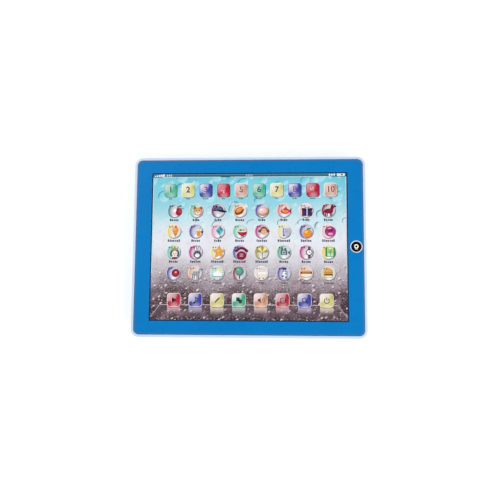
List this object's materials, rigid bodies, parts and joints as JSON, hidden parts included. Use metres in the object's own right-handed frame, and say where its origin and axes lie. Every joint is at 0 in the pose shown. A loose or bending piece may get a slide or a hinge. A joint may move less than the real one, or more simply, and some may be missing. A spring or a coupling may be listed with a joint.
{
  "type": "toy learning tablet",
  "caption": "Flat toy tablet: blue bezel, white case and printed touch keys, with a press-in home button and a screwed battery door on the back.",
  "frame": {"origin": "middle of the flat back face, on the surface the tablet lies on", "axes": "+X along the width towards the home button, +Y towards the top edge of the picture, +Z out of the front"},
  "size_m": [0.2434, 0.1894, 0.0204],
  "materials": {
    "blue_plastic": "satin moulded",
    "white_plastic": "satin moulded",
    "printed_film": "glossy print",
    "clear_film": "milky film",
    "grey_plastic": "matte",
    "black_plastic": "polished",
    "chrome": "plated",
    "rubber": "matte",
    "board_green": "solder resist",
    "epoxy_black": "matte",
    "connector_white": "matte",
    "steel": "plated",
    "ferrite": "dull",
    "paper_cone": "matte",
    "foam": "matte",
    "cell_jacket": "glossy sleeve",
    "capacitor_sleeve": "glossy sleeve",
    "wire_red": "satin insulation",
    "wire_black": "satin insulation"
  },
  "bodies": {
    "root": {"rear_case": "white_plastic", "front_bezel": "blue_plastic", "picture_panel": "printed_film", "membrane_top": "clear_film", "membrane_spacer": "clear_film", "membrane_bottom": "clear_film", "membrane_tail": "clear_film", "backing_plate": "grey_plastic", "home_button_ring": "chrome", "button_dome": "rubber", "button_board": "board_green", "button_cable": "wire_black", "main_board": "board_green", "sound_chip": "epoxy_black", "amplifier_chip": "epoxy_black", "crystal": "steel", "capacitor_1": "capacitor_sleeve", "capacitor_2": "capacitor_sleeve", "ribbon_connector": "connector_white", "speaker_gasket": "foam", "speaker_frame": "steel", "speaker_magnet": "ferrite", "speaker_clamp": "grey_plastic", "speaker_lead_red": "wire_red", "speaker_lead_black": "wire_black", "battery_1": "cell_jacket", "battery_2": "cell_jacket", "battery_3": "cell_jacket", "battery_spring_1": "steel", "battery_spring_2": "steel", "battery_spring_3": "steel", "contact_positive": "steel", "contact_negative": "steel", "contact_bridge_upper": "steel", "contact_bridge_lower": "steel", "battery_lead_red": "wire_red", "battery_lead_black": "wire_black", "case_screw_1": "steel", "case_screw_2": "steel", "case_screw_3": "steel", "case_screw_4": "steel", "case_screw_5": "steel", "case_screw_6": "steel", "plate_screw_1": "steel", "plate_screw_2": "steel", "plate_screw_3": "steel", "plate_screw_4": "steel", "board_screw_1": "steel", "button_board_screw_1": "steel", "clamp_screw_1": "steel", "board_screw_2": "steel", "button_board_screw_2": "steel", "clamp_screw_2": "steel"},
    "home_button": {"home_button_cap": "black_plastic"},
    "speaker_cone": {"speaker_cone": "paper_cone"},
    "battery_door": {"battery_door": "white_plastic"},
    "screw_keeper": {"screw_keeper": "rubber"},
    "door_screw": {"battery_door_screw": "steel"}
  },
  "joints": [
    {"name": "home_button_press", "type": "slide", "parent": "root", "child": "home_button", "axis": [0, 0, -1], "range_m": [0, 0.0008], "stiffness_N_per_m": 1500, "springref_m": -0.0003, "deforming": ["button_dome"]},
    {"name": "speaker_cone_stroke", "type": "slide", "parent": "root", "child": "speaker_cone", "axis": [0, 0, 1], "range_m": [-0.0005, 0.0005], "stiffness_N_per_m": 2000},
    {"name": "battery_door_open", "type": "hinge", "parent": "root", "child": "battery_door", "pos_m": [0.052, -0.04185, 0.0003], "axis": [-1, 0, 0], "range_deg": [0, 40]},
    {"name": "door_screw_lift", "type": "slide", "parent": "battery_door", "child": "screw_keeper", "axis": [0, 0, -1], "range_m": [0, 0.0032]},
    {"name": "door_screw_turn", "type": "hinge", "parent": "screw_keeper", "child": "door_screw", "pos_m": [0.052, 0.0195, 0.0006], "axis": [0, 0, -1], "range_deg": [0, 1440]}
  ],
  "couplings": [
    {"joint": "door_screw_lift", "follows": "door_screw_turn", "m_per_rad": 0.00012732}
  ]
}
